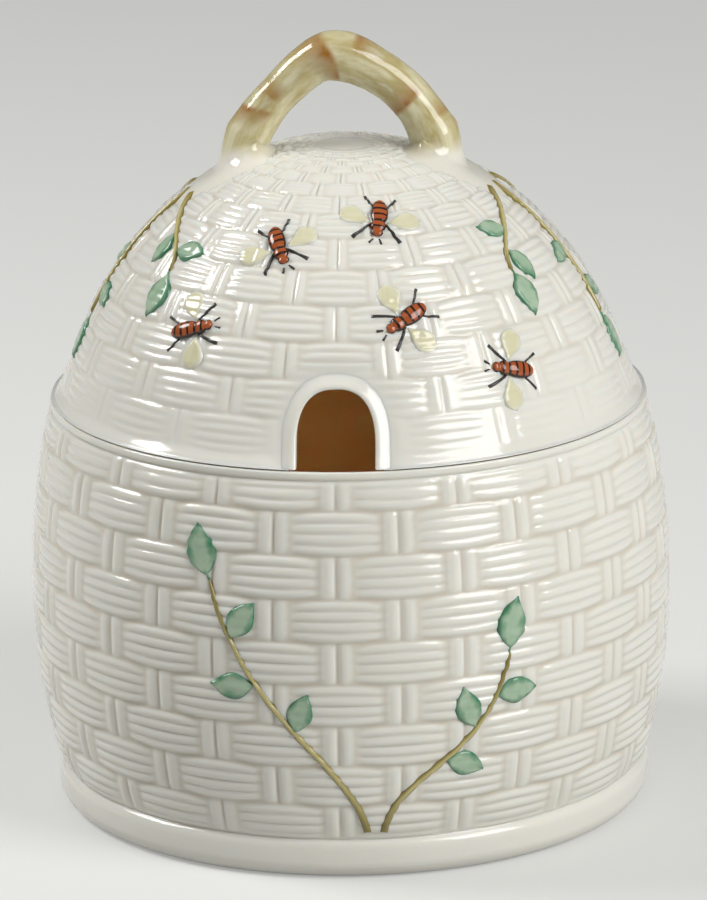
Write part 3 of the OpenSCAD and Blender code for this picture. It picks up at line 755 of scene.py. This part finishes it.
# Green underglaze: a pale wash with darker teal at the edges and streaks along the leaf.
leaf_paint, tree, where = glaze("green_underglaze_paint", 0.1)
rim = add_node(tree, "ShaderNodeAttribute", attribute_name="rim")
blots = add_node(tree, "ShaderNodeTexNoise", [("Vector", where)], Scale=1 / (3 * MM), Detail=4.0)
pale = blend_colours(tree, blots.outputs["Fac"], "#bccdb5", "#86ab8a")
worn = add_node(tree, "ShaderNodeMath", [(0, rim.outputs["Fac"]), (1, blots.outputs["Fac"])], operation="ADD")
edge = add_node(tree, "ShaderNodeMapRange", [("Value", worn.outputs[0])], From_Min=0.95, From_Max=1.5)
paint(tree, blend_colours(tree, edge.outputs["Result"], pale, "#3f7f5c"))

for body, ground, paths, leaves, cuts in (("pot", POT, pot_stem_paths, pot_stem_leaves, 160),
                                          ("lid", DOME, lid_stem_paths, lid_stem_leaves, 90)):
    bm = new_strips()
    for path in paths:
        brushed_strip(bm, ground, path, half_stem, STEM_H, cuts, 6, 0.9)
    bmesh.ops.recalc_face_normals(bm, faces=bm.faces)
    make_piece(body + "_sprig_stems", bm, body, "stem_paint", stem_paint, body + "_stems")
    bm = new_strips()
    for path in paths:
        for shape in leaves:
            leaf(bm, ground, path, *shape)
    bmesh.ops.recalc_face_normals(bm, faces=bm.faces)
    make_piece(body + "_sprig_leaves", bm, body, "leaf_paint", leaf_paint, body + "_leaves")


# ---- Bees ----
# Each bee is modelled in low relief on the lid and painted: a rust body with dark bands, thin dark legs and
# feelers, and two pale yellow wings.

BEE_W = 3.9
BEE_H = 0.95
BEE_SLIM = 0.9
BEE_SEAT = 0.8 * RELIEF

# Each bee as (angle, distance up the dome, heading from across the dome towards its crown)
bees = [(15, 53, -105), (-19, 46, -60), (-36, 26, 20), (17, 30, -150), (40, 17, 165)]

# Half widths of a bee from the tip of its abdomen to its face, as (way ahead of its middle, half width)
bee_outline = [
    (-4.7, 0), (-4.5, 0.75), (-4.0, 1.25), (-3.2, 1.65), (-2.2, 1.9), (-1.0, 1.95), (0.1, 1.8), (0.9, 1.5),
    (1.25, 1.3), (1.6, 1.5), (2.2, 1.62), (2.8, 1.5), (3.15, 1.15), (3.35, 0.95), (3.6, 1.1), (4.0, 1.2),
    (4.4, 1.0), (4.65, 0.55), (4.72, 0),
]


def by_bee(bee, ahead, aside):
    """The place on the dome at a way ahead of a bee's middle and a way to its left."""
    angle, s, heading = bee
    c, d = cos(radians(heading)), sin(radians(heading))
    return moved(DOME, (angle, s), ahead * c - aside * d, ahead * d + aside * c)


# One body is spun, marked for its paint, and then laid over the dome for each bee.
one = bmesh.new()
line = [one.verts.new((x, 0, half)) for x, half in bee_outline]
bmesh.ops.subdivide_edges(one, edges=[one.edges.new(pair) for pair in zip(line, line[1:])], cuts=1)
bmesh.ops.spin(one, geom=one.verts[:] + one.edges[:], cent=(0, 0, 0), axis=(1, 0, 0), angle=2 * pi, steps=24,
               use_merge=True)
bmesh.ops.remove_doubles(one, verts=one.verts, dist=WELD)
ahead_layer, flank_layer = (one.verts.layers.float.new(name) for name in ("ahead", "flank"))
for v in one.verts:
    v[ahead_layer] = v.co.x
    v[flank_layer] = abs(v.co.y) / max(hypot(v.co.y, v.co.z), 0.1)
bee_mesh = bpy.data.meshes.new("bee")
one.to_mesh(bee_mesh)
one.free()
bm = bmesh.new()
for bee in bees:
    first = len(bm.verts)
    bm.from_mesh(bee_mesh)
    bm.verts.ensure_lookup_table()
    for v in bm.verts[first:]:
        v.co = dome_space(*by_bee(bee, v.co.x, BEE_SLIM * v.co.y), BEE_SEAT + v.co.z * BEE_H / (BEE_W / 2))
bpy.data.meshes.remove(bee_mesh)
bmesh.ops.recalc_face_normals(bm, faces=bm.faces)

# Rust underglaze with dark brushed bands behind the head and a dark outline along the sides.
BAND_STEP = 0.75
BAND_WOBBLE = 0.7
bee_paint, tree, where = glaze("rust_and_black_underglaze", 0.1)
ahead = add_node(tree, "ShaderNodeAttribute", attribute_name="ahead")
flank = add_node(tree, "ShaderNodeAttribute", attribute_name="flank")
wobble = add_node(tree, "ShaderNodeTexNoise", [("Vector", where)], Scale=1 / (2.5 * MM), Detail=2.0)
bowed = add_node(tree, "ShaderNodeMath", [(0, wobble.outputs["Fac"]), (2, ahead.outputs["Fac"])],
                 operation="MULTIPLY_ADD")
bowed.inputs[1].default_value = BAND_WOBBLE
bands = add_node(tree, "ShaderNodeMath", [(0, bowed.outputs[0])], operation="PINGPONG")
bands.inputs[1].default_value = BAND_STEP
dark = add_node(tree, "ShaderNodeMapRange", [("Value", bands.outputs[0])], From_Min=0.32, From_Max=0.18)
outline = add_node(tree, "ShaderNodeMapRange", [("Value", flank.outputs["Fac"])],
                   From_Min=0.72, From_Max=0.86)
head = add_node(tree, "ShaderNodeMapRange", [("Value", ahead.outputs["Fac"])], From_Min=3.3, From_Max=3.1)
bands_only = add_node(tree, "ShaderNodeMath", [(0, dark.outputs["Result"]), (1, head.outputs["Result"])],
                      operation="MULTIPLY")
inked = add_node(tree, "ShaderNodeMath", [(0, bands_only.outputs[0]), (1, outline.outputs["Result"])],
                 operation="MAXIMUM")
rust = blend_colours(tree, wobble.outputs["Fac"], "#bd6232", "#8c4522")
paint(tree, blend_colours(tree, inked.outputs[0], rust, "#2a1a14"))
make_piece("bee_bodies_painted", bm, "lid", "bee_paint", bee_paint, "bee_bodies")

# Legs and feelers as (three points of a curve, each a way ahead and aside, and the half width)
bee_limbs = [([(-2.8, 1.4), (-4.0, 2.3), (-5.6, 3.6)], 0.25), ([(1.4, 1.2), (3.0, 2.6), (5.6, 4.2)], 0.32),
             ([(5.3, 0.5), (5.7, 0.7), (6.5, 1.1)], 0.2)]
LIMB_H = 0.22
bm = new_strips()
for bee in bees:
    for side in (-1, 1):
        for curve, half in bee_limbs:
            path = [by_bee(bee, ahead, side * aside) for ahead, aside in curve]
            brushed_strip(bm, DOME, path, lambda t: half * (0.75 + 0.5 * t), LIMB_H, 14, 4, 0.6)
bmesh.ops.recalc_face_normals(bm, faces=bm.faces)

# Black underglaze, thinned to grey in places as the brush ran dry.
leg_paint, tree, where = glaze("black_underglaze_paint", 0.12)
thinned = add_node(tree, "ShaderNodeTexNoise", [("Vector", where)], Scale=1 / (3 * MM), Detail=3.0)
paint(tree, blend_colours(tree, thinned.outputs["Fac"], "#25211f", "#4d4844"))
make_piece("bee_legs_painted", bm, "lid", "bee_paint", leg_paint)

WING_L = 6.8
WING_HALF = 2.4
WING_ROOT_HALF = 0.25
WING_H = 0.06
WING_SWEEP = 105
WING_ROOT = (1.128, BEE_W / 2 - 0.3)


def half_wing(t):
    """Half a wing's width at a share of the way from its root, widest past its middle."""
    return max(WING_ROOT_HALF, WING_HALF * sin(pi * min(1, max(0, t)) ** 1.5) ** 0.7)


bm = new_strips()
for bee in bees:
    for side in (-1, 1):
        root = by_bee(bee, WING_ROOT[0], side * WING_ROOT[1])
        way = radians(bee[2] + side * WING_SWEEP)
        tip = moved(DOME, root, WING_L * cos(way), WING_L * sin(way))
        brushed_strip(bm, DOME, [root, tip], half_wing, WING_H, 20, 14, 0.6)
bmesh.ops.recalc_face_normals(bm, faces=bm.faces)

# Pale yellow underglaze, thin enough for the cream to show, and thinned to nothing at the rim.
wing_paint, tree, where = glaze("pale_yellow_underglaze", 0.1)
rim = add_node(tree, "ShaderNodeAttribute", attribute_name="rim")
blots = add_node(tree, "ShaderNodeTexNoise", [("Vector", where)], Scale=1 / (3 * MM), Detail=3.0)
wash = blend_colours(tree, blots.outputs["Fac"], "#e4e1c9", "#d3cea0")
edge = add_node(tree, "ShaderNodeMapRange", [("Value", rim.outputs["Fac"])], From_Min=0.6, From_Max=1.0)
paint(tree, blend_colours(tree, edge.outputs["Result"], wash, "#e3e1d2"))
make_piece("bee_wings_painted", bm, "lid", "wing_paint", wing_paint, "bee_wings")


# ---- Floor, light and camera ----
# A plain pale table, soft studio lamps, and a long lens a little above the pot.

FLOOR = "#b9b9b6"
STUDIO_WHITE = "#f2f2f0"
FLOOR_LIFT = 0.33

# The floor is matt and grey, and lifted to a pale one only for rays that look at it, so it throws no extra
# light on the pot.
floor_material = bpy.data.materials.new("pale_floor")
floor_material.use_nodes = True
tree = floor_material.node_tree
floor_shader = tree.nodes["Principled BSDF"]
floor_shader.inputs["Base Color"].default_value = linear(FLOOR)
floor_shader.inputs["Roughness"].default_value = 0.85
floor_shader.inputs["Emission Color"].default_value = linear(STUDIO_WHITE)
rays = add_node(tree, "ShaderNodeLightPath")
looks = rays.outputs["Is Camera Ray"]
for kind in ("Is Glossy Ray", "Is Transmission Ray"):
    looks = add_node(tree, "ShaderNodeMath", [(0, looks), (1, rays.outputs[kind])],
                     operation="MAXIMUM").outputs[0]
lift = add_node(tree, "ShaderNodeMath", [(0, looks)], operation="MULTIPLY")
lift.inputs[1].default_value = FLOOR_LIFT
tree.links.new(floor_shader.inputs["Emission Strength"], lift.outputs[0])
bm = bmesh.new()
bmesh.ops.create_grid(bm, x_segments=1, y_segments=1, size=3)
floor_mesh = bpy.data.meshes.new("floor")
bm.to_mesh(floor_mesh)
bm.free()
floor_mesh.materials.append(floor_material)
floor = bpy.data.objects.new("floor", floor_mesh)
bpy.context.scene.collection.objects.link(floor)

world = bpy.data.worlds.new("studio")
bpy.context.scene.world = world
world.use_nodes = True
sky = world.node_tree.nodes["Background"]
sky.inputs["Color"].default_value = linear(STUDIO_WHITE)
sky.inputs["Strength"].default_value = 0.22


LAMP_AIM_Z = 0.08


def lamp(name, turn, rise, distance, width, height, power):
    """A rectangular softbox aimed at the pot, at an angle and a rise above the table. Sizes are in metres."""
    data = bpy.data.lights.new(name, "AREA")
    data.shape = "RECTANGLE"
    data.size, data.size_y, data.energy = width, height, power
    lit = bpy.data.objects.new(name, data)
    bpy.context.scene.collection.objects.link(lit)
    aim = Vector((0, 0, LAMP_AIM_Z))
    way = Vector((sin(radians(turn)) * cos(radians(rise)), -cos(radians(turn)) * cos(radians(rise)),
                  sin(radians(rise))))
    lit.location = aim + distance * way
    lit.rotation_euler = (-way).to_track_quat("-Z", "Y").to_euler()


lamp("right_softbox", 55, 32, 1.2, 0.6, 0.8, 11.0)
lamp("left_softbox", -97, 42, 1.0, 0.4, 0.36, 6.2)
lamp("front_fill", -5, 60, 1.4, 0.8, 0.5, 0.8)

# Where the camera stands, in metres, and the small turns that frame the pot as the photograph does
CAMERA_AWAY = 1.2
CAMERA_Z = 0.4158
camera = bpy.data.objects.new("camera", bpy.data.cameras.new("camera"))
bpy.context.scene.collection.objects.link(camera)
camera.data.lens = 245.0
camera.data.sensor_width = 36
camera.data.clip_end = 20
turn, aim, pitch, roll = (radians(a) for a in (2.65, -0.04, 16.03, -0.85))
camera.matrix_world = (Matrix.Translation((CAMERA_AWAY * sin(turn), -CAMERA_AWAY * cos(turn), CAMERA_Z))
                       @ Matrix.Rotation(turn + aim, 4, "Z") @ Matrix.Rotation(pi / 2 - pitch, 4, "X")
                       @ Matrix.Rotation(roll, 4, "Z"))
bpy.context.scene.camera = camera
bpy.context.scene.view_settings.view_transform = "Standard"
